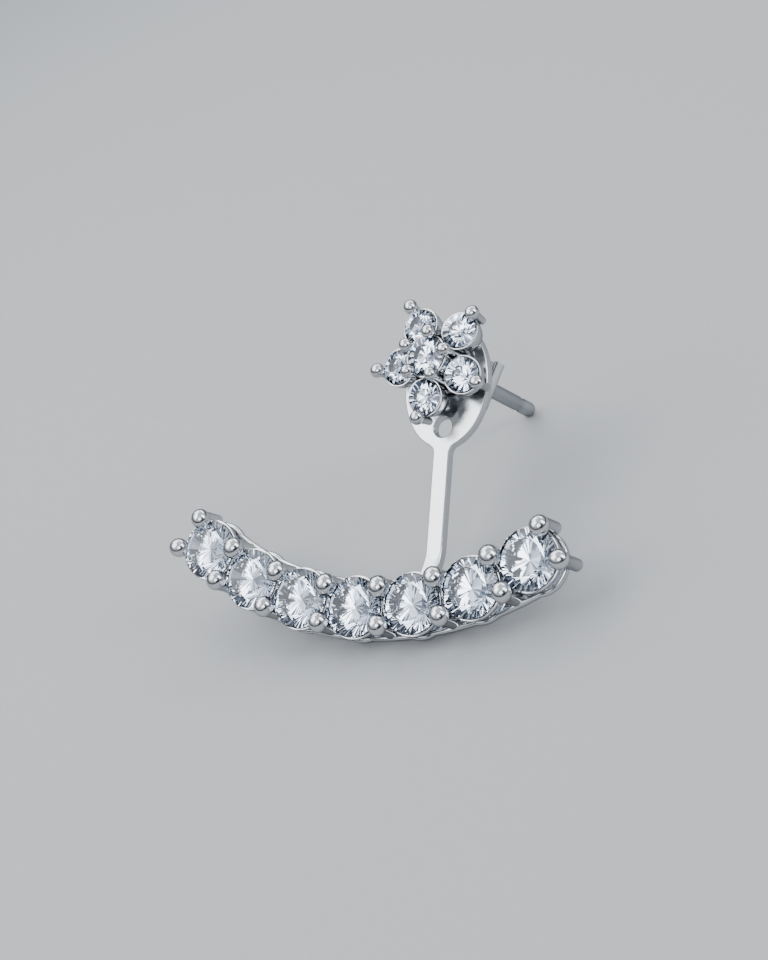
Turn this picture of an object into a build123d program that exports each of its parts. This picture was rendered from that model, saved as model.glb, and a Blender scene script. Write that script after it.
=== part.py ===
from build123d import *
import os
from math import asin, atan2, cos, degrees, hypot, radians, sin

# An ear jacket earring: a flower stud, a jacket that hangs from its post, and a butterfly clutch.
# It is drawn flat, as on a jeweller's bench: x to the right, y up, z towards the viewer.
# The origin is on the post's axis, in the front face of the jacket's plate.
# Last, all of it is leaned back to rest on the curved bar and on the tip of the post.
# Every size is in millimetres and every angle in degrees.

# round brilliant stones, as shares of their diameter
TABLE_SHARE = 0.56
CROWN_SHARE = 0.15
GIRDLE_SHARE = 0.03
PAVILION_SHARE = 0.43
GIRDLE_SIDES = 32
STAR_SHARE = 0.5
LOWER_SHARE = 0.78
STONE_GAP = 0.04

# curved bar of the jacket
BAR_STONE_COUNT = 7
BAR_STONE = 3.0
BAR_PITCH = 3.22
BAR_RADIUS = 17.5
BAR_CENTRE_X = -2.35
BAR_CENTRE_Y = 5.05
BAR_TURN = -2.1
BAR_GIRDLE_Z = 2.2
BASKET_RADIUS = 1.62
SEAT_RADIUS = 1.58
SEAT_DROP = 0.06
SEAT_DEPTH = 0.26
SEAT_BORE = 1.22
BASE_DEPTH = 0.4
BASE_BORE = 1.12
BAR_BACK_Z = 0.85
RAIL_WIDTH = 0.3
RAIL_REACH = 1.5

# claws of the bar: each has a round bead in front of a straight shaft
CLAW_BEAD = 0.44
CLAW_SHAFT = 0.36
CLAW_BEAD_OUT = 0.92
CLAW_SHAFT_OUT = 1.0
CLAW_BEAD_RISE = 0.36
END_BEAD = 0.40
END_SHAFT = 0.32
END_BEAD_OUT = 0.95
END_BEAD_ALONG = 1.36
END_SHAFT_OUT = 1.04
END_SHAFT_ALONG = 1.50
END_BEAD_RISE = 0.28
CLAW_FOOT = 0.02

# plate and stem of the jacket
PLATE_HALF_WIDTH = 2.34
PLATE_HALF_HEIGHT = 3.25
PLATE_CENTRE_Y = -0.9
PLATE_THICKNESS = 0.55
PLATE_EDGE = 0.1
HOLE_RADIUS = 0.48
HOLE_CHAMFER = 0.09
HOLE_SPACING = 3.1
STEM_WIDTH = 0.88
STEM_CORNER = 0.45
STEM_BEND_Y = -9.0
STEM_END_Y = -11.1
STEM_END_Z = 1.2

# flower stud
PETAL_COUNT = 5
PETAL_STONE = 1.75
PETAL_RING = 1.94
PETAL_FIRST = 116.4
PETAL_TILT = 7.0
PETAL_GIRDLE_Z = 1.5
CENTRE_STONE = 2.0
CENTRE_GIRDLE_Z = 2.18
CUP_WALL = 0.12
CUP_TAPER = 0.12
PETAL_CUP_DEPTH = 0.95
CENTRE_CUP_DEPTH = 1.75
CUP_DRAIN = 0.3
OUTER_BEAD = 0.3
OUTER_BEAD_RISE = 0.34
INNER_BEAD = 0.28
INNER_BEAD_RISE = 0.28
OUTER_BEAD_OUT = 1.07
OUTER_SHAFT_OUT = 1.12
OUTER_SHAFT = 0.2
OUTER_SHAFT_DEPTH = 0.9
INNER_BEAD_RING = 1.15
INNER_SHAFT_RING = 1.23
INNER_SHAFT = 0.17
INNER_SHAFT_DEPTH = 1.8
FLOWER_BASE_RADIUS = 1.55
FLOWER_BASE_FRONT = 0.6
FLOWER_BASE_BACK = 0.1

# post
POST_RADIUS = 0.4
POST_LENGTH = 9.45
NOTCH_RADIUS = 0.33
NOTCH_WIDTH = 0.6
NOTCH_FROM_TIP = 1.5

# butterfly clutch, rolled from strip
STRIP = 0.25
STRIP_WIDTH = 2.4
CLUTCH_GAP = 0.1
CLUTCH_TURN = -20.0
CLUTCH_BORE = 0.45
CURL_CENTRE_X = 1.12
CURL_RADIUS = 0.9
CURL_END_RADIUS = 0.5
CURL_END_ANGLE = 225.0
WING_CORNER = 0.6
CREASE_OFFSET = -0.56
CREASE_WIDTH = 0.12
CREASE_DEPTH = 0.07
CLUTCH_FOOT_LENGTH = 3.6
CLUTCH_FOOT_HEIGHT = 2.9

BAR_STEP = 2 * degrees(asin(BAR_PITCH / 2 / BAR_RADIUS))
BAR_MIDDLE = (BAR_STONE_COUNT - 1) / 2


def girdle_edge(diameter):
    """How far the girdle's edge stands from its middle plane."""
    return diameter * GIRDLE_SHARE / 2


def facet(stone, azimuth, near, far):
    """Grinds one flat facet through two points, each a radius and a height, at an azimuth."""
    along = Vector(far[0] - near[0], 0, far[1] - near[1])
    normal = Vector(0, 1, 0).cross(along).rotate(Axis.Z, azimuth)
    point = Vector(near[0], 0, near[1]).rotate(Axis.Z, azimuth)
    if normal.dot(point) < 0:
        normal = -normal
    return split(stone, bisect_by=Plane(point, z_dir=normal), keep=Keep.BOTTOM)


def brilliant(diameter):
    """A round brilliant with its table towards +z and the middle of its girdle at the origin."""
    radius = diameter / 2
    edge = girdle_edge(diameter)
    crown_top = edge + diameter * CROWN_SHARE
    culet = -edge - diameter * PAVILION_SHARE
    table = radius * TABLE_SHARE
    blank = RegularPolygon(radius, GIRDLE_SIDES, major_radius=True)
    stone = Pos(0, 0, culet) * extrude(blank, crown_top - culet)
    flat = radius * cos(radians(180 / GIRDLE_SIDES))
    star_radius = table + (radius - table) * STAR_SHARE
    star_height = crown_top - (crown_top - edge) * STAR_SHARE * 0.62
    lower_radius = radius * (1 - LOWER_SHARE)
    for eighth in range(8):
        main = 45 * eighth
        between = main + 22.5
        stone = facet(stone, main, (flat, edge), (table * cos(radians(22.5)) * 1.04, crown_top))
        stone = facet(stone, between, (table * cos(radians(22.5)), crown_top), (star_radius, star_height))
        stone = facet(stone, main, (flat, -edge), (0, culet))
        for side in (-1, 1):
            turn = main + side * 11.25
            upper_top = star_height + 0.08 * (crown_top - edge)
            stone = facet(stone, turn, (flat, edge * 0.6), (star_radius, upper_top))
            stone = facet(stone, turn, (flat, -edge * 0.6), (lower_radius, culet * (LOWER_SHARE + 0.012)))
    return stone


def ring_section(points):
    """Turns a closed outline of (radius, height) points once round the z axis."""
    outline = Polyline(*[(r, 0, h) for r, h in points], close=True)
    return revolve(make_face(outline), Axis.Z)


def pavilion_radius(diameter, height):
    """Radius of the space that a stone's underside needs at a height below its girdle."""
    below = -girdle_edge(diameter) - height
    return diameter / 2 * (1 - below / (diameter * PAVILION_SHARE)) + STONE_GAP


def seat_height(diameter, radius):
    """Height below the girdle where that space has narrowed to a radius."""
    below = (1 - (radius - STONE_GAP) / (diameter / 2)) * diameter * PAVILION_SHARE
    return -girdle_edge(diameter) - below


def stone_space(diameter):
    """The space that a stone and the gap round it need, turned round the stone's own axis."""
    radius = diameter / 2
    edge = girdle_edge(diameter)
    crown_top = edge + diameter * CROWN_SHARE
    return ring_section([
        (0, -edge - diameter * PAVILION_SHARE * (1 + STONE_GAP / radius)),
        (radius + STONE_GAP, -edge),
        (radius + STONE_GAP, edge),
        (radius * TABLE_SHARE + STONE_GAP, crown_top + STONE_GAP),
        (0, crown_top + STONE_GAP),
    ])


def basket():
    """The two rings that carry one stone of the bar, round the stone's own axis."""
    top = -girdle_edge(BAR_STONE) - STONE_GAP - SEAT_DROP
    seat = ring_section([
        (pavilion_radius(BAR_STONE, top), top),
        (SEAT_RADIUS, top),
        (SEAT_RADIUS, top - SEAT_DEPTH),
        (SEAT_BORE, top - SEAT_DEPTH),
        (SEAT_BORE, seat_height(BAR_STONE, SEAT_BORE)),
    ])
    back = BAR_BACK_Z - BAR_GIRDLE_Z
    base = ring_section([
        (BASE_BORE, back),
        (BASKET_RADIUS, back),
        (BASKET_RADIUS, back + BASE_DEPTH),
        (BASE_BORE, back + BASE_DEPTH),
    ])
    return [seat, base]


def claw(bead_xy, shaft_xy, bead, shaft, bead_z, foot_z):
    """A claw: a bead, and a shaft with a domed top that stands on foot_z."""
    height = bead_z - foot_z
    stem = Pos(shaft_xy[0], shaft_xy[1], foot_z + height / 2) * Cylinder(shaft, height)
    dome = Pos(shaft_xy[0], shaft_xy[1], bead_z) * Sphere(shaft)
    return [Pos(bead_xy[0], bead_xy[1], bead_z) * Sphere(bead), stem, dome]


def on_bar(step, out=0.0):
    """A point of the bar: step counts stones from the middle one, out is away from the arc's centre."""
    turn = radians(BAR_TURN + step * BAR_STEP)
    reach = BAR_RADIUS + out
    return BAR_CENTRE_X + reach * sin(turn), BAR_CENTRE_Y - reach * cos(turn)


def bar_place(step):
    """Where a stone of the bar sits, turned with the arc."""
    x, y = on_bar(step)
    return Pos(x, y, BAR_GIRDLE_Z) * Rot(0, 0, BAR_TURN + step * BAR_STEP)


def bar_rails():
    """The two curved rails that run along the back of the baskets, one on each side."""
    first, last = (BAR_TURN - 90 + side * BAR_MIDDLE * BAR_STEP for side in (-1, 1))
    rails = []
    for middle in (RAIL_WIDTH / 2 - RAIL_REACH, RAIL_REACH - RAIL_WIDTH / 2):
        inner = CenterArc((BAR_CENTRE_X, BAR_CENTRE_Y), BAR_RADIUS + middle - RAIL_WIDTH / 2, first, last - first)
        outer = CenterArc((BAR_CENTRE_X, BAR_CENTRE_Y), BAR_RADIUS + middle + RAIL_WIDTH / 2, first, last - first)
        ends = [Line(inner @ 0, outer @ 0), Line(inner @ 1, outer @ 1)]
        rails.append(Pos(0, 0, BAR_BACK_Z) * extrude(make_face([inner, outer, *ends]), BASE_DEPTH))
    return rails


def bar_claws():
    """The shared claws between the stones, and the pair at each end."""
    pieces = []
    foot = BAR_BACK_Z + CLAW_FOOT
    for index in range(BAR_STONE_COUNT - 1):
        step = index + 0.5 - BAR_MIDDLE
        for side in (-1, 1):
            pieces += claw(on_bar(step, side * CLAW_BEAD_OUT), on_bar(step, side * CLAW_SHAFT_OUT),
                           CLAW_BEAD, CLAW_SHAFT, BAR_GIRDLE_Z + CLAW_BEAD_RISE, foot)
    for end in (-1, 1):
        bead_step = end * (BAR_MIDDLE + END_BEAD_ALONG / BAR_PITCH)
        shaft_step = end * (BAR_MIDDLE + END_SHAFT_ALONG / BAR_PITCH)
        for side in (-1, 1):
            pieces += claw(on_bar(bead_step, side * END_BEAD_OUT), on_bar(shaft_step, side * END_SHAFT_OUT),
                           END_BEAD, END_SHAFT, BAR_GIRDLE_Z + END_BEAD_RISE, foot)
    return pieces


def plate_and_stem():
    """The oval plate with its two holes, and the stem that bends forward into the bar."""
    oval = Pos(0, PLATE_CENTRE_Y) * Ellipse(PLATE_HALF_WIDTH, PLATE_HALF_HEIGHT)
    stem_top = PLATE_CENTRE_Y
    strip = Pos(0, (stem_top + STEM_END_Y) / 2) * Rectangle(STEM_WIDTH, stem_top - STEM_END_Y)
    outline = oval + strip
    corners = outline.vertices().filter_by_position(Axis.Y, -4.6, -3.6)
    outline = fillet(corners, STEM_CORNER)
    front_view = Pos(0, 0, -2) * extrude(outline, 4)
    top_y = PLATE_CENTRE_Y + PLATE_HALF_HEIGHT + 1
    drop = STEM_BEND_Y - STEM_END_Y
    line = Polyline((top_y, 0), (STEM_BEND_Y, 0))
    bend = Spline((STEM_BEND_Y, 0), (STEM_BEND_Y - drop, STEM_END_Z), tangents=((-1, 0), (-0.8, 0.6)))
    back_bend = Spline((STEM_BEND_Y - drop, STEM_END_Z - PLATE_THICKNESS), (STEM_BEND_Y, -PLATE_THICKNESS),
                       tangents=((0.8, -0.6), (1, 0)))
    close_end = Line((STEM_BEND_Y - drop, STEM_END_Z), (STEM_BEND_Y - drop, STEM_END_Z - PLATE_THICKNESS))
    back = Polyline((STEM_BEND_Y, -PLATE_THICKNESS), (top_y, -PLATE_THICKNESS), (top_y, 0))
    side_view = make_face([line, bend, close_end, back_bend, back])
    side_plane = Plane((-5, 0, 0), x_dir=(0, 1, 0), z_dir=(1, 0, 0))
    sheet = extrude(side_plane * side_view, 10)
    body = front_view & sheet
    rims = body.edges().filter_by_position(Axis.Y, STEM_BEND_Y - 0.01, PLATE_CENTRE_Y + PLATE_HALF_HEIGHT)
    rims = rims.filter_by(lambda edge: abs(edge.tangent_at(0.5).Z) < 0.5)
    rims = rims.filter_by(lambda edge: edge.length > STEM_WIDTH * 1.05)
    body = fillet(rims, PLATE_EDGE)
    for y in (0, -HOLE_SPACING):
        body -= Pos(0, y, -PLATE_THICKNESS / 2) * Cylinder(HOLE_RADIUS, 2 * PLATE_THICKNESS)
        sink = ring_section([(0, -HOLE_CHAMFER), (HOLE_RADIUS, -HOLE_CHAMFER),
                             (HOLE_RADIUS + 2 * HOLE_CHAMFER, HOLE_CHAMFER), (0, HOLE_CHAMFER)])
        body -= Pos(0, y, 0) * sink
        body -= Pos(0, y, -PLATE_THICKNESS) * Rot(180, 0, 0) * sink
    return body


def jacket_frame():
    """Plate, stem, baskets and claws, cast as one piece."""
    pieces = bar_rails() + bar_claws()
    spaces = []
    for index in range(BAR_STONE_COUNT):
        place = bar_place(index - BAR_MIDDLE)
        pieces += [place * ring for ring in basket()]
        spaces.append(place * stone_space(BAR_STONE))
    return plate_and_stem().fuse(*pieces) - spaces


def cup(diameter, depth):
    """A tapered cup under a stone of the flower, open at the bottom, round the stone's own axis."""
    top = -girdle_edge(diameter) - STONE_GAP
    rim = diameter / 2 + CUP_WALL
    return ring_section([
        (pavilion_radius(diameter, top), top),
        (rim, top),
        (rim - CUP_TAPER, top - depth),
        (CUP_DRAIN, top - depth),
        (CUP_DRAIN, seat_height(diameter, CUP_DRAIN)),
    ])


def petal_place(index):
    """Where a petal's stone sits, tilted outwards, with its own x axis pointing outwards."""
    turn = PETAL_FIRST - index * 360 / PETAL_COUNT
    return Rot(0, 0, turn) * Pos(PETAL_RING, 0, PETAL_GIRDLE_Z) * Rot(0, PETAL_TILT, 0)


def post():
    """The ear post, with a domed tip and a notch for the clutch."""
    dome_z = -POST_LENGTH + POST_RADIUS
    length = FLOWER_BASE_FRONT - dome_z
    rod = Pos(0, 0, FLOWER_BASE_FRONT - length / 2) * Cylinder(POST_RADIUS, length)
    rod += Pos(0, 0, dome_z) * Sphere(POST_RADIUS)
    groove_outer = 2 * POST_RADIUS - NOTCH_RADIUS
    return rod - Pos(0, 0, -POST_LENGTH + NOTCH_FROM_TIP) * ring_section([
        (NOTCH_RADIUS, 0), (groove_outer, -NOTCH_WIDTH), (groove_outer, NOTCH_WIDTH),
    ])


def stud_setting():
    """Cups, claws, base and post of the flower, soldered as one piece."""
    base_depth = FLOWER_BASE_FRONT - FLOWER_BASE_BACK
    base = Pos(0, 0, FLOWER_BASE_BACK + base_depth / 2) * Cylinder(FLOWER_BASE_RADIUS, base_depth)
    centre = Pos(0, 0, CENTRE_GIRDLE_Z)
    pieces = [post(), centre * cup(CENTRE_STONE, CENTRE_CUP_DEPTH)]
    spaces = [centre * stone_space(CENTRE_STONE)]
    for index in range(PETAL_COUNT):
        place = petal_place(index)
        pieces.append(place * cup(PETAL_STONE, PETAL_CUP_DEPTH))
        spaces.append(place * stone_space(PETAL_STONE))
        outer = claw((OUTER_BEAD_OUT, 0), (OUTER_SHAFT_OUT, 0), OUTER_BEAD, OUTER_SHAFT,
                     OUTER_BEAD_RISE, -OUTER_SHAFT_DEPTH)
        pieces += [place * part for part in outer]
        between = Rot(0, 0, PETAL_FIRST - (index + 0.5) * 360 / PETAL_COUNT) * centre
        inner = claw((INNER_BEAD_RING, 0), (INNER_SHAFT_RING, 0), INNER_BEAD, INNER_SHAFT,
                     INNER_BEAD_RISE, -INNER_SHAFT_DEPTH)
        pieces += [between * part for part in inner]
    return base.fuse(*pieces) - spaces


def strip_wing(inner, outer):
    """Half of the clutch's strip in the x-z plane, between two offsets from its middle line."""
    middle_z = -PLATE_THICKNESS - CLUTCH_GAP - STRIP / 2
    curl_z = middle_z - CURL_RADIUS
    end_z = curl_z - (CURL_RADIUS - CURL_END_RADIUS)

    def point(centre_z, radius, angle):
        return (CURL_CENTRE_X + radius * cos(radians(angle)), centre_z - radius * sin(radians(angle)))

    def side(offset):
        big, small = CURL_RADIUS + offset, CURL_END_RADIUS + offset
        flat = Line((0, middle_z + offset), point(curl_z, big, -90))
        first = ThreePointArc(point(curl_z, big, -90), point(curl_z, big, 0), point(curl_z, big, 90))
        halfway = (90 + CURL_END_ANGLE) / 2
        second = ThreePointArc(point(end_z, small, 90), point(end_z, small, halfway),
                               point(end_z, small, CURL_END_ANGLE))
        return [flat, first, second]

    near, far = side(inner), side(outer)
    ends = [Line(near[0] @ 0, far[0] @ 0), Line(near[2] @ 1, far[2] @ 1)]
    return Plane.XZ * make_face([*near, *far, *ends])


def rolled(inner, outer, low_y, high_y):
    """The strip's two wings between two offsets, as wide as low_y to high_y."""
    half = Pos(0, high_y, 0) * extrude(strip_wing(inner, outer), high_y - low_y)
    return half + mirror(half, Plane.YZ)


def clutch():
    """The butterfly clutch: an oval foot, two curled wings and a hole for the post."""
    wings = rolled(-STRIP / 2, STRIP / 2, -STRIP_WIDTH / 2, STRIP_WIDTH / 2)
    reach = 2 * (CURL_CENTRE_X + CURL_RADIUS + STRIP / 2)
    outline = RectangleRounded(reach, STRIP_WIDTH, WING_CORNER)
    wings = wings & Pos(0, 0, -5) * extrude(outline, 5)
    crease_low = CREASE_OFFSET - CREASE_WIDTH / 2
    wings -= rolled(STRIP / 2 - CREASE_DEPTH, STRIP / 2 + CREASE_DEPTH, crease_low, crease_low + CREASE_WIDTH)
    front = -PLATE_THICKNESS - CLUTCH_GAP
    foot = Pos(0, 0, front - STRIP) * extrude(Ellipse(CLUTCH_FOOT_LENGTH / 2, CLUTCH_FOOT_HEIGHT / 2), STRIP)
    body = wings.fuse(foot)
    body -= Pos(0, 0, front) * Cylinder(CLUTCH_BORE, 4 * STRIP)
    return Rot(0, 0, CLUTCH_TURN) * body


def resting_place(nodes):
    """Leans the flat earring back until two baskets and the post's tip touch one floor."""
    left, right = on_bar(0), on_bar(1)
    roll = degrees(atan2(right[1] - left[1], right[0] - left[0]))
    low = left[0] * sin(radians(-roll)) + left[1] * cos(radians(-roll)) - BASKET_RADIUS
    tip = POST_LENGTH - POST_RADIUS + BAR_BACK_Z
    lean = degrees(atan2(-low, tip) - asin(POST_RADIUS / hypot(low, tip)))
    turned = Rot(90 - lean, 0, 0) * Rot(0, 0, -roll)
    boxes = [(turned * shape).bounding_box() for shape in nodes.values()]
    low_x, high_x = min(b.min.X for b in boxes), max(b.max.X for b in boxes)
    low_y, high_y = min(b.min.Y for b in boxes), max(b.max.Y for b in boxes)
    floor = min(b.min.Z for b in boxes)
    return Pos(-(low_x + high_x) / 2, -(low_y + high_y) / 2, -floor) * turned


def earring():
    """Every node of the earring, drawn flat."""
    nodes = {"jacket_frame": jacket_frame(), "stud_setting": stud_setting(), "clutch": clutch()}
    bar_stone = brilliant(BAR_STONE)
    for index in range(BAR_STONE_COUNT):
        nodes[f"bar_stone_{index + 1}"] = bar_place(index - BAR_MIDDLE) * bar_stone
    nodes["centre_stone"] = Pos(0, 0, CENTRE_GIRDLE_Z) * brilliant(CENTRE_STONE)
    petal_stone = brilliant(PETAL_STONE)
    for index in range(PETAL_COUNT):
        nodes[f"petal_stone_{index + 1}"] = petal_place(index) * petal_stone
    return nodes


flat_nodes = earring()
place = resting_place(flat_nodes)
os.makedirs("parts", exist_ok=True)
for name, shape in flat_nodes.items():
    export_step(place * shape, f"parts/{name}.step")
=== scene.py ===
# %% [markdown]
# # An ear jacket earring
# A flower stud goes through the ear. Behind it hangs a jacket: an oval plate with a thin stem, and a curved bar of
# seven round stones. A butterfly clutch holds both on the post.
# The solids have every piece at its true size, but a polished bead made of a few flat faces looks like a nut, not
# a drop of metal. So the metal is modelled again here with many more faces, and the stones are cut again with the
# finer facets that throw thin rays of light.

# %% Load the frame
import math

import bmesh
import bpy
from mathutils import Euler, Matrix, Vector


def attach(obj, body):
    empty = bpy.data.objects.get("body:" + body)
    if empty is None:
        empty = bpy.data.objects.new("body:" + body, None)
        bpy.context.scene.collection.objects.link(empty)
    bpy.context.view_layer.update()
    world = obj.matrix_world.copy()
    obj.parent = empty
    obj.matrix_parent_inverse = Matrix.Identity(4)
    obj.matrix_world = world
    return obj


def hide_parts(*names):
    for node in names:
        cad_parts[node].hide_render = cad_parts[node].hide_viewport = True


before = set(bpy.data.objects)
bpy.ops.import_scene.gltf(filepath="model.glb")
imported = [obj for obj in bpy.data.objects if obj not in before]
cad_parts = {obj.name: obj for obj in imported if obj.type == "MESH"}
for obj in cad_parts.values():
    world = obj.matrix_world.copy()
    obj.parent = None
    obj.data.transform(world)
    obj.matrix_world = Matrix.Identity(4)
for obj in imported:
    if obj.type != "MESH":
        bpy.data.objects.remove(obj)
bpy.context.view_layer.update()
bpy.ops.object.select_all(action="DESELECT")
MM = 0.001

# %% [markdown]
# ## The bench and the resting place
# A jeweller works with the earring flat on the bench, and so do we: x to the right, y up, z towards the viewer,
# with zero on the post's axis in the front of the plate. At the end each piece is laid down with one matrix,
# which leans it back until the bar and the tip of the post touch the floor.

# %% The matrix from the bench to the floor
LEAN = 53.143375
ROLL = 3.178676
SHIFT = Vector((3.435888, 3.373507, 7.641258)) * MM
TO_FLOOR = (Matrix.Translation(SHIFT)
            @ Matrix.Rotation(math.radians(90 - LEAN), 4, "X")
            @ Matrix.Rotation(math.radians(-ROLL), 4, "Z"))
print("front of the plate faces", [round(v, 3) for v in TO_FLOOR.to_3x3() @ Vector((0, 0, 1))])

# %% [markdown]
# ## The camera
# The photograph was taken from close by, to the right of the earring and a little below it, with the camera
# tipped. Its place, turn and lens were worked out from the centres of the stones and beads.

# %% Camera
camera_data = bpy.data.cameras.new("camera")
camera_data.lens = 65.36
camera_data.sensor_width = 36
camera_data.clip_start = 1 * MM
camera = bpy.data.objects.new("camera", camera_data)
camera.location = Vector((44.558, -60.071, 51.525)) * MM
camera.rotation_euler = Euler([math.radians(a) for a in (54.2077, 23.1910, 21.2223)])
bpy.context.scene.collection.objects.link(camera)
bpy.context.scene.camera = camera
print("camera turned by", [round(math.degrees(a), 1) for a in camera.rotation_euler])

# %% [markdown]
# ## Colours and nodes
# Colours are written as they look on a screen. Shaders count in linear light, so one function converts them.
# A second small function adds a node, fills in its settings and joins its links.

# %% Helpers for materials
def linear(hex_colour):
    """An sRGB hex colour as linear red, green, blue and alpha."""
    parts = [int(hex_colour[i:i + 2], 16) / 255 for i in (1, 3, 5)]
    return [p / 12.92 if p <= 0.04045 else ((p + 0.055) / 1.055) ** 2.4 for p in parts] + [1.0]


def add_node(tree, kind, fields=None, sockets=None, links=None):
    """Adds a node, sets its fields and input sockets, and links inputs to (node, output) pairs."""
    node = tree.nodes.new(kind)
    for key, value in (fields or {}).items():
        setattr(node, key, value)
    for key, value in (sockets or {}).items():
        node.inputs[key].default_value = value
    for key, (source, output) in (links or {}).items():
        tree.links.new(source.outputs[output], node.inputs[key])
    return node


def new_material(name):
    """An empty node material, with its tree and output node."""
    material = bpy.data.materials.new(name)
    material.use_nodes = True
    material.node_tree.nodes.clear()
    return material, material.node_tree, material.node_tree.nodes.new("ShaderNodeOutputMaterial")


# %% [markdown]
# ## Rhodium-plated silver
# Fashion silver is polished on a wheel and then plated with rhodium, which keeps it white. The eye sees a mirror
# that is a little darker and cooler than silver, and a touch darker still where it turns away, which the specular
# tint gives. The wheel leaves hair-fine marks of about 0.01 mm. They are drawn 0.06 to 0.08 mm wide here, the
# finest that shows at this size, and they only soften the mirror.

# %% Polished and tumbled metal
def plated_silver(name, colour, smooth, rough, mark_mm, depth):
    """Rhodium-plated silver, its roughness wandering between two values, with fine polishing marks."""
    material, tree, out = new_material(name)
    place = add_node(tree, "ShaderNodeTexCoord")
    stretch = add_node(tree, "ShaderNodeMapping", sockets={"Scale": (1.0, 0.25, 1.0), "Rotation": (0.4, 0.2, 0.9)},
                       links={"Vector": (place, "Object")})
    marks = add_node(tree, "ShaderNodeTexNoise", sockets={"Scale": 1 / (mark_mm * MM), "Detail": 3.0},
                     links={"Vector": (stretch, "Vector")})
    cloud = add_node(tree, "ShaderNodeTexNoise", sockets={"Scale": 1 / (0.9 * MM), "Detail": 4.0},
                     links={"Vector": (place, "Object")})
    spread = add_node(tree, "ShaderNodeMapRange", sockets={"From Min": 0.3, "From Max": 0.7, "To Min": smooth,
                                                           "To Max": rough}, links={"Value": (cloud, "Fac")})
    relief = add_node(tree, "ShaderNodeBump", sockets={"Strength": 0.25, "Distance": depth * MM},
                      links={"Height": (marks, "Fac")})
    shader = add_node(tree, "ShaderNodeBsdfPrincipled", sockets={
        "Base Color": linear(colour), "Metallic": 1.0, "Specular Tint": linear("#A4A7AA")}, links={
        "Roughness": (spread, "Result"), "Normal": (relief, "Normal")})
    tree.links.new(shader.outputs["BSDF"], out.inputs["Surface"])
    return material


# Mirror polish on rings, rails and cups: sharp glints with dark edges.
mirror_rhodium = plated_silver("mirror_polished_rhodium_plate", "#CDCFD1", 0.05, 0.12, 0.06, 0.0006)
# The plate and stem are only brushed, and give a broad soft shine.
satin_rhodium = plated_silver("satin_rhodium_plate", "#D0D2D4", 0.17, 0.26, 0.07, 0.0012)
# A claw's tip is rubbed round with a steel tool, and stays a little softer than a mirror.
burnished_rhodium = plated_silver("burnished_rhodium_plate", "#CBCCCE", 0.10, 0.20, 0.08, 0.0008)
# The clutch is pressed from rolled sheet, the palest of the metals, with a soft shine.
sheet_rhodium = plated_silver("rolled_sheet_rhodium_plate", "#E2E3E4", 0.16, 0.26, 0.08, 0.0012)
# The post is drawn wire, only tumbled, and looks greyer.
tumbled_rhodium = plated_silver("tumbled_rhodium_plate", "#B4B7BA", 0.14, 0.24, 0.08, 0.0015)

# %% [markdown]
# ## Cubic zirconia
# Cubic zirconia bends light nearly as strongly as diamond. Its IOR is about 2.2, and 2.25 matched the picture best.
# Light that enters the top is thrown back by the facets underneath. White stones of this kind are faintly icy blue,
# and a slow noise of 0.4 mm lets the tint wander a little, as it does in grown crystal. A dark specular tint keeps
# the flat table from mirroring the soft boxes, so the rays underneath stay clear.

# %% Stone
def cut_stone(name, pale, deep):
    """Clear cubic zirconia, its tint wandering between two colours."""
    material, tree, out = new_material(name)
    place = add_node(tree, "ShaderNodeTexCoord")
    cloud = add_node(tree, "ShaderNodeTexNoise", sockets={"Scale": 1 / (0.4 * MM), "Detail": 2.0},
                     links={"Vector": (place, "Object")})
    tint = add_node(tree, "ShaderNodeMix", {"data_type": "RGBA"}, links={"Factor": (cloud, "Fac")})
    tint.inputs[6].default_value = linear(pale)
    tint.inputs[7].default_value = linear(deep)
    shader = add_node(tree, "ShaderNodeBsdfPrincipled", sockets={
        "Roughness": 0.0, "IOR": 2.25, "Transmission Weight": 1.0, "Specular Tint": linear("#8A8E94")}, links={
        "Base Color": (tint, 2)})
    tree.links.new(shader.outputs["BSDF"], out.inputs["Surface"])
    return material


# Clear at its palest, with a breath of blue where it is deepest.
zirconia = cut_stone("cut_cubic_zirconia", "#FBFDFF", "#C6DBFA")

# %% [markdown]
# ## Tools of the bench
# Each piece starts as a primitive. Every operator acts on all that is selected, so a new primitive is always added
# with nothing else selected, and faces are then picked by where they are.

# %% Helpers for modelling
def start(add, name, **settings):
    """Adds a primitive with nothing else selected, names it and returns it."""
    bpy.ops.object.select_all(action="DESELECT")
    add(**settings)
    piece = bpy.context.object
    piece.name = name
    return piece


def edit(piece):
    """Opens a piece in edit mode with all of it selected."""
    bpy.ops.object.select_all(action="DESELECT")
    bpy.context.view_layer.objects.active = piece
    piece.select_set(True)
    bpy.ops.object.mode_set(mode="EDIT")
    bpy.ops.mesh.select_all(action="SELECT")


def done():
    """Leaves edit mode."""
    bpy.ops.object.mode_set(mode="OBJECT")


def pick(kind, test):
    """Selects the VERT, EDGE or FACE elements whose middle passes the test, and returns how many there are."""
    bpy.ops.mesh.select_mode(type=kind)
    bpy.ops.mesh.select_all(action="DESELECT")
    shape = bmesh.from_edit_mesh(bpy.context.object.data)
    count = 0
    if kind == "VERT":
        for v in shape.verts:
            if test(v.co):
                v.select_set(True)
                count += 1
    elif kind == "EDGE":
        for e in shape.edges:
            if test((e.verts[0].co + e.verts[1].co) / 2):
                e.select_set(True)
                count += 1
    else:
        for f in shape.faces:
            if test(f.calc_center_median()):
                f.select_set(True)
                count += 1
    bmesh.update_edit_mesh(bpy.context.object.data)
    return count


def modify(piece, kind, **settings):
    """Adds a modifier and applies it at once."""
    bpy.ops.object.select_all(action="DESELECT")
    bpy.context.view_layer.objects.active = piece
    piece.select_set(True)
    modifier = piece.modifiers.new(kind.lower(), kind)
    for key, value in settings.items():
        setattr(modifier, key, value)
    bpy.ops.object.modifier_apply(modifier=modifier.name)


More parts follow.
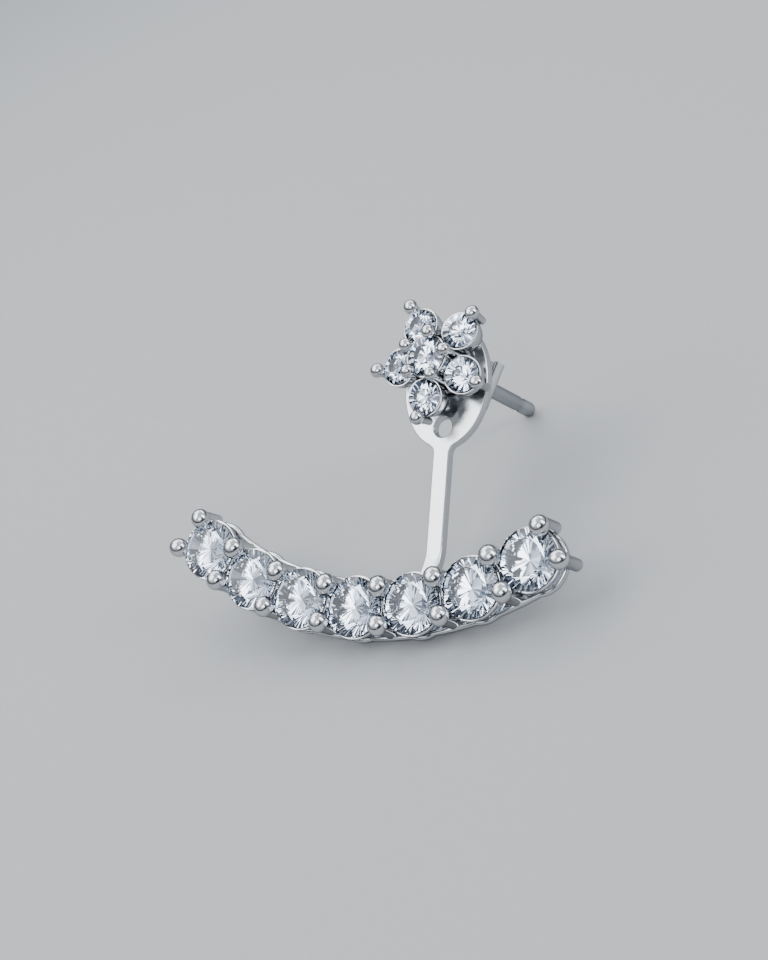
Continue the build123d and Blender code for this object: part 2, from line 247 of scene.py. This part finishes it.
def smooth(piece, angle=35):
    """Shades a piece smooth, and keeps edges sharper than the angle crisp."""
    bpy.ops.object.select_all(action="DESELECT")
    bpy.context.view_layer.objects.active = piece
    piece.select_set(True)
    bpy.ops.object.shade_smooth_by_angle(angle=math.radians(angle))


def turned(name, outline, steps=64, bevel=0.0, segments=2):
    """A piece turned on a lathe round the z axis. The outline is closed, as (radius, height) points in mm."""
    piece = start(bpy.ops.mesh.primitive_plane_add, name, size=MM)
    edit(piece)
    bpy.ops.mesh.merge(type="CENTER")
    bpy.ops.transform.translate(value=(outline[0][0] * MM, 0, outline[0][1] * MM))
    for (r0, h0), (r1, h1) in zip(outline, outline[1:]):
        bpy.ops.mesh.extrude_region_move(TRANSFORM_OT_translate={"value": ((r1 - r0) * MM, 0, (h1 - h0) * MM)})
    if outline[0][0] > 0 or outline[-1][0] > 0:
        ends = [Vector((r * MM, 0, h * MM)) for r, h in (outline[0], outline[-1])]
        pick("VERT", lambda co: any((co - end).length < 1e-4 * MM for end in ends))
        bpy.ops.mesh.edge_face_add()
    bpy.ops.mesh.select_all(action="SELECT")
    bpy.ops.mesh.spin(steps=steps, angle=math.tau, center=(0, 0, 0), axis=(0, 0, 1))
    bpy.ops.mesh.select_all(action="SELECT")
    bpy.ops.mesh.remove_doubles(threshold=1e-3 * MM)
    bpy.ops.mesh.normals_make_consistent(inside=False)
    done()
    if bevel:
        modify(piece, "BEVEL", width=bevel * MM, segments=segments, limit_method="ANGLE",
               angle_limit=math.radians(30))
    smooth(piece)
    return piece


# %% [markdown]
# Many pieces repeat. Each is modelled once at the bench's zero, and each copy gets its own mesh, its place on the
# bench, and then its place on the floor. The place goes into the mesh, so that the object itself stays at zero.

# %% Helpers for placing
def set_down(piece, body, material, place=None):
    """Moves a piece from the bench to the floor and makes it ride on its body."""
    bpy.ops.object.select_all(action="DESELECT")
    bpy.context.view_layer.objects.active = piece
    piece.select_set(True)
    piece.matrix_world = TO_FLOOR @ (place or Matrix.Identity(4)) @ piece.matrix_world
    bpy.ops.object.transform_apply(location=True, rotation=True, scale=True)
    piece.data.materials.clear()
    piece.data.materials.append(material)
    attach(piece, body)
    return piece


def copy_of(piece, name):
    """A copy with its own mesh."""
    copy = piece.copy()
    copy.data = piece.data.copy()
    copy.name = name
    bpy.context.scene.collection.objects.link(copy)
    return copy


def discard(piece):
    """Deletes a pattern piece once its copies are made."""
    bpy.data.objects.remove(piece, do_unlink=True)


def spot(x, y, z=0.0, turn=0.0):
    """A place on the bench in mm, turned about z in degrees."""
    return Matrix.Translation(Vector((x, y, z)) * MM) @ Matrix.Rotation(math.radians(turn), 4, "Z")


# %% [markdown]
# ## The stones
# A cutter grinds a stone flat against a turning wheel, one facet at a time. A bisect with its outer side cleared
# and the hole filled does just that to a mesh. The rough stone is a short cylinder. The table is cut first, then
# the crown, then the pavilion underneath, in tiers that get a little steeper towards the edge. The bar's stones
# have thirty-two mains and sixty-four halves, for thin bright rays. The flower's small stones have one tier more,
# and their light breaks up into crumbs.

# %% Cutting a stone, two units across
CROWN = 0.30
GIRDLE_HALF = 0.03
PAVILION = 0.93
HALVES_STEEPER, STARS_FLATTER = 7.5, 12


def grind(slope, turn, radius, height):
    """Cuts a facet that slopes from the horizontal, at a turn about the axis, through a radius and height."""
    slope, turn = math.radians(slope), math.radians(turn)
    side = 1 if height > 0 else -1
    bpy.ops.mesh.select_all(action="SELECT")
    bpy.ops.mesh.bisect(plane_co=(radius * math.cos(turn), radius * math.sin(turn), height),
                        plane_no=(math.cos(turn) * math.sin(slope), math.sin(turn) * math.sin(slope),
                                  side * math.cos(slope)),
                        clear_outer=True, use_fill=True)


def cut(name, table, crown_sides, tiers):
    """A stone with its table and crown, and pavilion tiers as (steeper by degrees, sides, radius, depth)."""
    rough = start(bpy.ops.mesh.primitive_cylinder_add, name, vertices=96, radius=1.0, depth=1.4,
                  location=(0, 0, -0.3))
    bpy.ops.object.transform_apply(location=True, rotation=True, scale=True)
    edit(rough)
    top = GIRDLE_HALF + CROWN
    crown_slope = math.degrees(math.atan(CROWN / (1 - table)))
    turn = 360 / crown_sides
    grind(0, 0, 0, top)
    for index in range(crown_sides):
        grind(crown_slope, index * turn, 1.0, GIRDLE_HALF)
    for index in range(2 * crown_sides):
        grind(crown_slope + HALVES_STEEPER, (index + 0.5) * turn / 2, 1.0, GIRDLE_HALF)
    for index in range(crown_sides):
        grind(crown_slope - STARS_FLATTER, (index + 0.5) * turn, table * 1.02, top)
    pavilion_slope = math.degrees(math.atan(PAVILION))
    for steeper, sides, radius, depth in tiers:
        for index in range(sides):
            grind(pavilion_slope + steeper, (index + 0.5) * 360 / sides, radius, -depth)
    bpy.ops.mesh.select_all(action="SELECT")
    bpy.ops.mesh.remove_doubles(threshold=1e-4)
    bpy.ops.mesh.normals_make_consistent(inside=False)
    done()
    print(name, len(rough.data.polygons), "facets")
    return rough


rayed = cut("rayed_stone", 0.60, 16, [(-1.5, 32, 0.9, GIRDLE_HALF + 0.08), (1.5, 64, 1.0, GIRDLE_HALF)])
crushed = cut("crushed_stone", 0.46, 16, [(-2.0, 16, 0.93, GIRDLE_HALF + 0.05),
                                          (0.5, 32, 0.97, GIRDLE_HALF + 0.02), (4.0, 48, 1.0, GIRDLE_HALF)])


# %% [markdown]
# A cut stone is two units across, so half its diameter is the scale of each copy. The copy takes the place of the
# plain solid, which is then hidden.

# %% Setting a stone
def set_stone(stone, node, body, diameter, place):
    """Copies a cut stone to a diameter in mm and a place, and lets it stand for the plain solid."""
    copy = copy_of(stone, node + "_cut")
    copy.matrix_world = Matrix.Scale(diameter / 2 * MM, 4)
    set_down(copy, body, zirconia, place)
    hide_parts(node)


# %% [markdown]
# ## The plate and the stem
# The oval plate is stamped from sheet 0.55 mm thick. It could be drawn as a curve and given a thickness. A
# cylinder squeezed to an oval does the same and leaves a clean rim to round. The stem is a bar cut into short
# lengths, and each cut is moved a little further forward, so the bar bends smoothly up into the baskets. The cuts
# near the plate are made wider in a quarter circle, which rounds the corner between the two.

# %% The oval plate
THICK = 0.55
PLATE_Y, PLATE_HALF_WIDTH, PLATE_HALF_HEIGHT = -0.9, 2.34, 3.25
plate = start(bpy.ops.mesh.primitive_cylinder_add, "plate", vertices=160, radius=MM, depth=THICK * MM,
              location=(0, PLATE_Y * MM, -THICK / 2 * MM))
plate.scale = (PLATE_HALF_WIDTH, PLATE_HALF_HEIGHT, 1)
bpy.ops.object.transform_apply(location=True, rotation=True, scale=True)
print("plate in mm", [round(v / MM, 2) for v in plate.dimensions])

# %% The stem, cut into short lengths
STEM_WIDTH, STEM_LENGTH, STEM_Y = 0.88, 7.5, -7.35
stem = start(bpy.ops.mesh.primitive_cube_add, "stem", size=MM, location=(0, STEM_Y * MM, -THICK / 2 * MM))
stem.scale = (STEM_WIDTH, STEM_LENGTH, THICK)
bpy.ops.object.transform_apply(location=True, rotation=True, scale=True)
edit(stem)
FILLET = 0.45
FILLET_TOP_Y, FILLET_Y = -4.0, -4.41
BEND_Y, BEND_END_Y, BEND_RISE = -8.9, -11.1, 1.05
fillet_cuts = [FILLET_TOP_Y + (FILLET_Y - FILLET_TOP_Y) * i / 10 for i in range(10)]
bend_cuts = [BEND_Y + (BEND_END_Y - BEND_Y) * i / 24 for i in range(24)]
for y in fillet_cuts + bend_cuts:
    bpy.ops.mesh.select_all(action="SELECT")
    bpy.ops.mesh.bisect(plane_co=(0, y * MM, 0), plane_no=(0, 1, 0))
print("stem cut at", len(fillet_cuts + bend_cuts), "places")


# %% Bending and flaring the stem
def stem_rise(y):
    """How far forward the stem has bent at a height on the bench, in mm."""
    t = min(max((BEND_Y - y) / (BEND_Y - BEND_END_Y), 0), 1)
    return BEND_RISE * t ** 2.4


def stem_flare(y):
    """How much wider the stem is in the rounded corner where it grows out of the plate."""
    half = STEM_WIDTH / 2
    above = min(max(y - FILLET_Y, 0), FILLET)
    return (half + FILLET - math.sqrt(FILLET ** 2 - above ** 2)) / half


for y in fillet_cuts + bend_cuts + [BEND_END_Y]:
    pick("VERT", lambda co: abs(co.y - y * MM) < 0.004 * MM)
    bpy.ops.transform.translate(value=(0, 0, stem_rise(y) * MM))
    bpy.ops.transform.resize(value=(stem_flare(y), 1, 1), center_override=(0, 0, 0))
done()

# %% [markdown]
# The two are joined and their outline is rounded first, while the front is still one whole face. A face with a
# hole in it is hard on the bevel tool, so the holes come last, and the drill is turned with flaring ends that round
# their rims. Only the lower hole shows. The post goes through the upper one.

# %% Joining, rounding and drilling
RIM = 0.08
HOLE_RADIUS, HOLES_Y = 0.5, (0, -3.1)
modify(plate, "BOOLEAN", operation="UNION", object=stem, solver="EXACT")
discard(stem)
edit(plate)
bpy.ops.mesh.remove_doubles(threshold=0.01 * MM)
bpy.ops.mesh.dissolve_limited(angle_limit=math.radians(0.5))
done()
modify(plate, "BEVEL", width=RIM * MM, segments=4, limit_method="ANGLE", angle_limit=math.radians(40),
       use_clamp_overlap=False)
flare = [(0.58, 0.0), (0.54, -0.012), (0.512, -0.04), (HOLE_RADIUS, -RIM)]
for y in HOLES_Y:
    drill = turned("drill", [(0, 0.3), (0.58, 0.3)] + flare + [(r, -THICK - z) for r, z in reversed(flare)]
                   + [(0.58, -THICK - 0.3), (0, -THICK - 0.3)], 64)
    drill.location = (0, y * MM, 0)
    modify(plate, "BOOLEAN", operation="DIFFERENCE", object=drill, solver="EXACT")
    discard(drill)
smooth(plate, 35)
modify(plate, "WEIGHTED_NORMAL", weight=100, keep_sharp=True)
plate.name = "plate_and_stem"
set_down(plate, "jacket", satin_rhodium)
print("plate and stem:", len(plate.data.polygons), "faces")

# %% [markdown]
# ## The baskets
# The bar's seven stones lie on an arc, like beads on a string. So everything on the bar is placed by two numbers:
# how many stones it is from the middle one, and how far outside the arc.

# %% Where things are on the bar
STONES = 7
STONE_SIZE = 3.0
PITCH = 3.22
ARC_RADIUS, ARC_X, ARC_Y, ARC_TURN = 17.5, -2.35, 5.05, -2.1
STEP = 2 * math.degrees(math.asin(PITCH / 2 / ARC_RADIUS))
GIRDLE = 2.2
BACK = 0.85


def turn_at(step):
    """How far the bar has turned at a stone, in degrees."""
    return ARC_TURN + step * STEP


def on_bar(step, out=0.0):
    """A point of the bar, counted in stones from the middle one and in mm away from the arc's centre."""
    turn = math.radians(turn_at(step))
    return ARC_X + (ARC_RADIUS + out) * math.sin(turn), ARC_Y - (ARC_RADIUS + out) * math.cos(turn)


print("middle stone at", [round(v, 2) for v in on_bar(0)])

# %% [markdown]
# Each stone sits in a seat ring just behind its edge, and a base ring closes the basket at the back. A torus would
# be quicker, but its section is always round, and these rings are flat wire. So they are turned from an outline.

# %% Seat rings and base rings
seat = turned("seat", [(1.42, 2.055), (1.58, 2.055), (1.58, 1.795), (1.22, 1.795), (1.22, 1.87)], 72, 0.03)
base = turned("base", [(1.12, 0.85), (1.62, 0.85), (1.62, 1.25), (1.12, 1.25)], 72, 0.16, 6)
baskets = []
for index in range(STONES):
    x, y = on_bar(index - 3)
    for pattern, label in ((seat, "seat_ring"), (base, "base_ring")):
        ring = copy_of(pattern, f"{label}_{index + 1}")
        set_down(ring, "jacket", mirror_rhodium, spot(x, y))
        baskets.append(ring)
discard(seat)
discard(base)
print("baskets:", len(baskets), "rings")

# %% [markdown]
# Two thin rails join the base rings. Each starts as a small flat face, the section of the wire, stood upright at
# the first stone. Spin then sweeps it about the arc's own centre.

# %% Rails
RAIL_OUT, RAIL_WIDTH, RAIL_DEPTH = 1.35, 0.3, 0.4
upright = Matrix.Rotation(math.radians(90), 4, "Z") @ Matrix.Rotation(math.radians(90), 4, "X")
for middle, label in ((-RAIL_OUT, "top_rail"), (RAIL_OUT, "bottom_rail")):
    x, y = on_bar(-3, middle)
    rail = start(bpy.ops.mesh.primitive_plane_add, label, size=MM)
    rail.scale = (RAIL_WIDTH, RAIL_DEPTH, 1)
    rail.matrix_world = spot(x, y, BACK + RAIL_DEPTH / 2, turn_at(-3)) @ upright @ rail.matrix_basis
    bpy.ops.object.transform_apply(location=True, rotation=True, scale=True)
    edit(rail)
    bpy.ops.mesh.spin(steps=96, angle=math.radians(-6 * STEP), center=(ARC_X * MM, ARC_Y * MM, 0), axis=(0, 0, 1))
    bpy.ops.mesh.select_all(action="SELECT")
    bpy.ops.mesh.normals_make_consistent(inside=False)
    done()
    modify(rail, "BEVEL", width=0.13 * MM, segments=5, limit_method="ANGLE", angle_limit=math.radians(40))
    smooth(rail)
    set_down(rail, "jacket", mirror_rhodium)
    print(label, [round(v / MM, 2) for v in rail.dimensions])

# %% [markdown]
# ## Claws
# A claw is a round wire whose tip is pushed over the stone and burnished into a bead. Seen from the front, the
# bead is a full drop, and the shoulder of the wire stands behind it with a dark line between the two. So the claw
# is a sphere joined to a wire with a domed top, and the joint is softened with a small bevel.

# %% One claw
def claw(name, bead, shaft, lean, rise, foot):
    """A claw on a shaft at zero. Its bead stands at rise, and leans inwards, towards -x."""
    dome = [(shaft * math.cos(math.radians(a)), rise + shaft * math.sin(math.radians(a))) for a in range(0, 91, 10)]
    piece = turned(name, [(0, foot), (shaft * 0.9, foot), (shaft, foot + shaft * 0.1)] + dome, 32)
    drop = start(bpy.ops.mesh.primitive_uv_sphere_add, "drop", segments=36, ring_count=20, radius=bead * MM,
                 location=(-lean * MM, 0, rise * MM))
    drop.scale = (1.06, 1, 0.98)
    bpy.ops.object.transform_apply(location=True, rotation=True, scale=True)
    modify(piece, "BOOLEAN", operation="UNION", object=drop, solver="EXACT")
    discard(drop)
    modify(piece, "BEVEL", width=0.03 * MM, segments=2, limit_method="ANGLE", angle_limit=math.radians(25))
    smooth(piece, 50)
    return piece


# %% [markdown]
# Between two stones stand two claws, one on either side of the arc, and each bead holds both stones. The upper
# beads came out a little bigger. Two smaller claws close each end, turned towards the end stone's middle.

# %% A bar full of claws
CLAW_OUT = 1.06
CLAW_FOOT = BACK + 0.02
for side, label, bead in ((-1, "top", 0.53), (1, "bottom", 0.50)):
    pattern = claw("claw", bead, 0.36, 0.13, GIRDLE + 0.36, CLAW_FOOT)
    for index in range(STONES - 1):
        step = index - 2.5
        x, y = on_bar(step, side * CLAW_OUT)
        set_down(copy_of(pattern, f"{label}_claw_{index + 1}"), "jacket", burnished_rhodium,
                              spot(x, y, 0, turn_at(step) - 90 * side))
    discard(pattern)

END_REACH = 1.52
pattern = claw("end_claw", 0.49, 0.32, 0.17, GIRDLE + 0.28, CLAW_FOOT)
for end, where in ((-1, "left"), (1, "right")):
    for side, label in ((-1, "top"), (1, "bottom")):
        x, y = on_bar(end * (3 + END_REACH / PITCH), side * CLAW_OUT)
        x0, y0 = on_bar(end * 3)
        turn = math.degrees(math.atan2(y - y0, x - x0))
        set_down(copy_of(pattern, f"{where}_{label}_claw"), "jacket", burnished_rhodium,
                              spot(x, y, 0, turn))
discard(pattern)
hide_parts("jacket_frame")

# %% [markdown]
# All seven stones are copies of one cut. Each is turned with the arc, so that its facets follow the bar.

# %% The bar's stones
for index in range(STONES):
    x, y = on_bar(index - 3)
    set_stone(rayed, f"bar_stone_{index + 1}", "jacket", STONE_SIZE, spot(x, y, GIRDLE, turn_at(index - 3)))
discard(rayed)
print("stones on the bar:", STONES)

# %% [markdown]
# ## The flower
# Six small cups, soldered to a round base: five lean outwards like petals and one stands in front of them. Each
# cup is a cone with a thin rim, which is lathe work again. A claw at each petal's tip holds its stone.

# %% Petals
FIRST_PETAL, PETAL_TURN = 116.4, 72
PETAL_OUT, PETAL_Z, PETAL_LEAN, PETAL_STONE = 1.94, 1.5, 7, 1.75


def petal_spot(index):
    """The place of a petal's stone: its own x axis points outwards, and it leans outwards."""
    return (Matrix.Rotation(math.radians(FIRST_PETAL - PETAL_TURN * index), 4, "Z")
            @ Matrix.Translation(Vector((PETAL_OUT, 0, PETAL_Z)) * MM)
            @ Matrix.Rotation(math.radians(PETAL_LEAN), 4, "Y"))


cup = turned("cup", [(0.30, -0.52), (0.30, -1.0), (0.86, -1.0), (0.96, -0.55), (0.985, -0.068), (0.915, -0.068)],
             64, 0.02)
outer = claw("outer", 0.36, 0.2, 0.06, 0.34, -0.9)
for index in range(5):
    set_down(copy_of(cup, f"petal_cup_{index + 1}"), "stud", mirror_rhodium, petal_spot(index))
    set_down(copy_of(outer, f"outer_claw_{index + 1}"), "stud", burnished_rhodium,
             petal_spot(index) @ spot(1.12, 0))
    set_stone(crushed, f"petal_stone_{index + 1}", "stud", PETAL_STONE, petal_spot(index))
discard(cup)
discard(outer)
print("petals lean outwards by", PETAL_LEAN, "degrees")

# %% [markdown]
# The middle stone stands in front of the petals, in a deeper cup. Five thin claws rise between the petals, and each
# bead holds the middle stone and the two petals beside it. A thick round base carries everything.

# %% Middle stone, inner claws and base
CENTRE_Z, CENTRE_STONE = 2.18, 2.0
INNER_OUT = 1.23
set_stone(crushed, "centre_stone", "stud", CENTRE_STONE, spot(0, 0, CENTRE_Z))
discard(crushed)
middle_cup = turned("middle_cup", [(0.30, -0.66), (0.30, -1.78), (0.9, -1.78), (1.08, -0.8), (1.10, -0.07),
                                   (1.02, -0.07)], 72, 0.02)
set_down(middle_cup, "stud", mirror_rhodium, spot(0, 0, CENTRE_Z))
inner = claw("inner", 0.33, 0.17, 0.08, 0.28, -1.7)
for index in range(5):
    turn = FIRST_PETAL - PETAL_TURN * (index + 0.5)
    x, y = INNER_OUT * math.cos(math.radians(turn)), INNER_OUT * math.sin(math.radians(turn))
    set_down(copy_of(inner, f"inner_claw_{index + 1}"), "stud", burnished_rhodium,
             spot(x, y, CENTRE_Z, turn))
discard(inner)

flower_base = turned("flower_base", [(0, 0.1), (1.55, 0.1), (1.55, 0.6), (0, 0.6)], 96, 0.08, 3)
set_down(flower_base, "stud", mirror_rhodium)
print("flower base in mm", [round(v / MM, 2) for v in flower_base.dimensions])

# %% [markdown]
# ## The post
# A length of 0.8 mm wire, with a rounded tip so that it slips through the ear, and a notch near the end where the
# clutch clicks in. Turned in one go from its outline.

# %% Post
POST_RADIUS, TIP_Z = 0.4, -9.05
tip = [(POST_RADIUS * math.sin(math.radians(a)), TIP_Z - POST_RADIUS * math.cos(math.radians(a)))
       for a in range(0, 91, 9)]
notch = [(POST_RADIUS, -8.25), (0.33, -7.95), (POST_RADIUS, -7.65)]
post = turned("post", tip + notch + [(POST_RADIUS, 0.3), (0, 0.3)], 48)
set_down(post, "stud", tumbled_rhodium)
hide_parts("stud_setting")
print("post in mm", [round(v / MM, 2) for v in post.dimensions])

# %% [markdown]
# ## The clutch
# One strip of sheet is rolled up at both ends into scrolls, which grip the post like a spring. The strip starts as
# one point, which is pulled out to a line across the strip and then to a flat band. The scroll is two spins about
# two centres. A mirror makes the other wing, a row of points is pushed in for the crease that stiffens the strip,
# and solidify gives the sheet its 0.25 mm.
# One fault is left here. Both spins turn inwards, so the scrolls run through the post, their mesh isn't closed, and
# the wings are 0.8 mm narrower in all than the solid clutch, whose scrolls turn outwards. A minus sign before both
# angles mends all three.

# %% The clutch's wings
SHEET = 0.25
STRIP_WIDTH = 2.4
FLAT_Z = -THICK - 0.1 - SHEET / 2
CURL_X, CURL_RADIUS, CURL_END_RADIUS, CURL_END_ANGLE = 1.12, 0.9, 0.5, 135
CREASE_Y, CREASE_DEPTH = -0.56, 0.08
ACROSS = (0.6, 0.6, 0.5, 0.06, 0.06, 0.28, 0.3)
wing = start(bpy.ops.mesh.primitive_plane_add, "wing", size=MM)
edit(wing)
bpy.ops.mesh.merge(type="CENTER")
bpy.ops.transform.translate(value=(0, STRIP_WIDTH / 2 * MM, FLAT_Z * MM))
for step in ACROSS:
    bpy.ops.mesh.extrude_region_move(TRANSFORM_OT_translate={"value": (0, -step * MM, 0)})
bpy.ops.mesh.select_all(action="SELECT")
for i in range(3):
    bpy.ops.mesh.extrude_region_move(TRANSFORM_OT_translate={"value": (CURL_X / 3 * MM, 0, 0)})
bpy.ops.mesh.spin(steps=24, angle=math.pi, center=(CURL_X * MM, 0, (FLAT_Z - CURL_RADIUS) * MM), axis=(0, 1, 0))
bpy.ops.mesh.spin(steps=20, angle=math.radians(CURL_END_ANGLE),
                  center=(CURL_X * MM, 0, (FLAT_Z - 2 * CURL_RADIUS + CURL_END_RADIUS) * MM), axis=(0, 1, 0))
bpy.ops.mesh.select_all(action="SELECT")
bpy.ops.mesh.remove_doubles(threshold=1e-3 * MM)
done()
modify(wing, "MIRROR", use_axis=(True, False, False), merge_threshold=0.01 * MM)
edit(wing)
bpy.ops.mesh.normals_make_consistent(inside=False)
pick("VERT", lambda co: abs(co.y - CREASE_Y * MM) < 0.01 * MM)
bpy.ops.transform.shrink_fatten(value=-CREASE_DEPTH * MM)
done()
modify(wing, "SOLIDIFY", thickness=SHEET * MM, offset=0)
print("wings in mm", [round(v / MM, 2) for v in wing.dimensions])

# %% [markdown]
# The blank of a real clutch has its corners cut round before it is rolled. Here a block with rounded corners trims
# the rolled strip, which comes to the same. An oval foot lies under the strip, and one hole goes through both. The
# clutch can stand at any angle on the post. Here it is turned by 20 degrees, so that one end looks out from behind
# the plate.

# %% Trimming the wings, the foot and the hole
CORNER, SOFT = 0.6, 0.05
REACH, BLOCK_Z, BLOCK_DEPTH = 4.3, -2, 4
FOOT_HALF_WIDTH, FOOT_HALF_HEIGHT = 1.8, 1.45
GRIP_RADIUS = 0.45
CLUTCH_TURN = -20
trim = start(bpy.ops.mesh.primitive_cube_add, "trim", size=MM, location=(0, 0, BLOCK_Z * MM))
trim.scale = (REACH, STRIP_WIDTH, BLOCK_DEPTH)
bpy.ops.object.transform_apply(location=True, rotation=True, scale=True)
edit(trim)
pick("EDGE", lambda co: abs(co.z - BLOCK_Z * MM) < 0.01 * MM)
bpy.ops.mesh.bevel(offset=CORNER * MM, segments=10, affect="EDGES")
done()
modify(wing, "BOOLEAN", operation="INTERSECT", object=trim, solver="EXACT")
discard(trim)
modify(wing, "BEVEL", width=SOFT * MM, segments=2, limit_method="ANGLE", angle_limit=math.radians(60))
foot = start(bpy.ops.mesh.primitive_cylinder_add, "foot", vertices=96, radius=MM, depth=SHEET * MM,
             location=(0, 0, FLAT_Z * MM))
foot.scale = (FOOT_HALF_WIDTH, FOOT_HALF_HEIGHT, 1)
bpy.ops.object.transform_apply(location=True, rotation=True, scale=True)
modify(foot, "BEVEL", width=SOFT * MM, segments=2, limit_method="ANGLE", angle_limit=math.radians(60))
for piece in (wing, foot):
    drill = start(bpy.ops.mesh.primitive_cylinder_add, "drill", vertices=48, radius=GRIP_RADIUS * MM, depth=1 * MM,
                  location=(0, 0, FLAT_Z * MM))
    modify(piece, "BOOLEAN", operation="DIFFERENCE", object=drill, solver="EXACT")
    discard(drill)
    smooth(piece)
    set_down(piece, "clutch", sheet_rhodium, spot(0, 0, 0, CLUTCH_TURN))
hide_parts("clutch")
print("clutch:", len(wing.data.polygons) + len(foot.data.polygons), "faces")

# %% [markdown]
# ## The floor
# The earring lies on a plain pale board, as in a shop's pictures. A matt board with a fine grain of 0.5 mm throws a
# soft even light up into the metal, and takes a soft shadow.

# %% Floor
floor = start(bpy.ops.mesh.primitive_grid_add, "floor", x_subdivisions=8, y_subdivisions=8, size=1.2)
material, tree, out = new_material("pale_matt_board")
place = add_node(tree, "ShaderNodeTexCoord")
grain = add_node(tree, "ShaderNodeTexNoise", sockets={"Scale": 1 / (0.5 * MM), "Detail": 5.0},
                 links={"Vector": (place, "Object")})
tint = add_node(tree, "ShaderNodeMapRange", sockets={"To Min": 0.97, "To Max": 1.03},
                links={"Value": (grain, "Fac")})
colour = add_node(tree, "ShaderNodeMix", {"data_type": "RGBA", "blend_type": "MULTIPLY"},
                  {"Factor": 1.0}, {7: (tint, "Result")})
colour.inputs[6].default_value = linear("#9B9D9F")
relief = add_node(tree, "ShaderNodeBump", sockets={"Strength": 0.2, "Distance": 0.02 * MM},
                  links={"Height": (grain, "Fac")})
shader = add_node(tree, "ShaderNodeBsdfPrincipled", sockets={"Roughness": 0.7},
                  links={"Base Color": (colour, 2), "Normal": (relief, "Normal")})
tree.links.new(shader.outputs["BSDF"], out.inputs["Surface"])
floor.data.materials.append(material)
print("floor in mm", [round(v / MM) for v in floor.dimensions])

# %% [markdown]
# ## The light
# Bright metal shows what is round it, so the light is what makes it look polished. One large soft box high on the
# left is mirrored in the plate, and smaller ones give edges and sparkle.

# %% Lights
target = Vector((0, -2, 5)) * MM


def soft_box(name, direction, distance, width, height, power):
    """An area light in a direction from the earring, aimed at it. Sizes and distance are in mm."""
    data = bpy.data.lights.new(name, "AREA")
    data.shape = "RECTANGLE"
    data.size = width * MM
    data.size_y = height * MM
    data.energy = power
    lamp = bpy.data.objects.new(name, data)
    lamp.location = target + Vector(direction).normalized() * distance * MM
    lamp.rotation_euler = (target - lamp.location).to_track_quat("-Z", "Y").to_euler()
    bpy.context.scene.collection.objects.link(lamp)


soft_box("key", (-0.50, -0.28, 0.82), 160, 110, 130, 0.19)
soft_box("top", (-0.50, 0.42, 0.76), 170, 120, 110, 0.14)
soft_box("front", (0.45, -0.85, 0.75), 170, 90, 60, 0.09)
soft_box("side", (0.95, 0.1, 0.6), 160, 50, 120, 0.12)
soft_box("back", (0.1, 0.9, 0.7), 180, 140, 40, 0.08)
print("soft boxes:", len(bpy.data.lights))

# %% [markdown]
# Round the soft boxes the room is a pale tent with darker gaps between its panels, and it is dark low down. A
# stone breaks this up into bright and dark rays, and a bead gets its dark edges from it.

# %% World
world = bpy.data.worlds.new("studio")
world.use_nodes = True
tree = world.node_tree
sky = add_node(tree, "ShaderNodeTexCoord")
split = add_node(tree, "ShaderNodeSeparateXYZ", links={"Vector": (sky, "Generated")})
height = add_node(tree, "ShaderNodeMapRange", sockets={"From Min": 0.10, "From Max": 0.55, "To Min": 0.05,
                                                       "To Max": 2.0}, links={"Value": (split, "Z")})
turn = add_node(tree, "ShaderNodeMapping", sockets={"Rotation": (0.2, 0.5, 0.7)},
                links={"Vector": (sky, "Generated")})
panels = add_node(tree, "ShaderNodeTexWave", {"wave_type": "BANDS", "bands_direction": "X"},
                  {"Scale": 1.3, "Distortion": 1.5, "Detail": 1.0}, {"Vector": (turn, "Vector")})
gaps = add_node(tree, "ShaderNodeMapRange", sockets={"From Min": 0.2, "From Max": 0.55, "To Min": 0.14,
                                                     "To Max": 1.0}, links={"Value": (panels, "Fac")})
strength = add_node(tree, "ShaderNodeMath", {"operation": "MULTIPLY"}, links={0: (height, "Result"),
                                                                             1: (gaps, "Result")})
shade = add_node(tree, "ShaderNodeMix", {"data_type": "RGBA"}, links={"Factor": (gaps, "Result")})
shade.inputs[6].default_value = linear("#8FA6C8")
shade.inputs[7].default_value = linear("#F0F5FC")
tree.links.new(shade.outputs[2], tree.nodes["Background"].inputs["Color"])
tree.links.new(strength.outputs["Value"], tree.nodes["Background"].inputs["Strength"])
bpy.context.scene.world = world
print("world:", world.name)
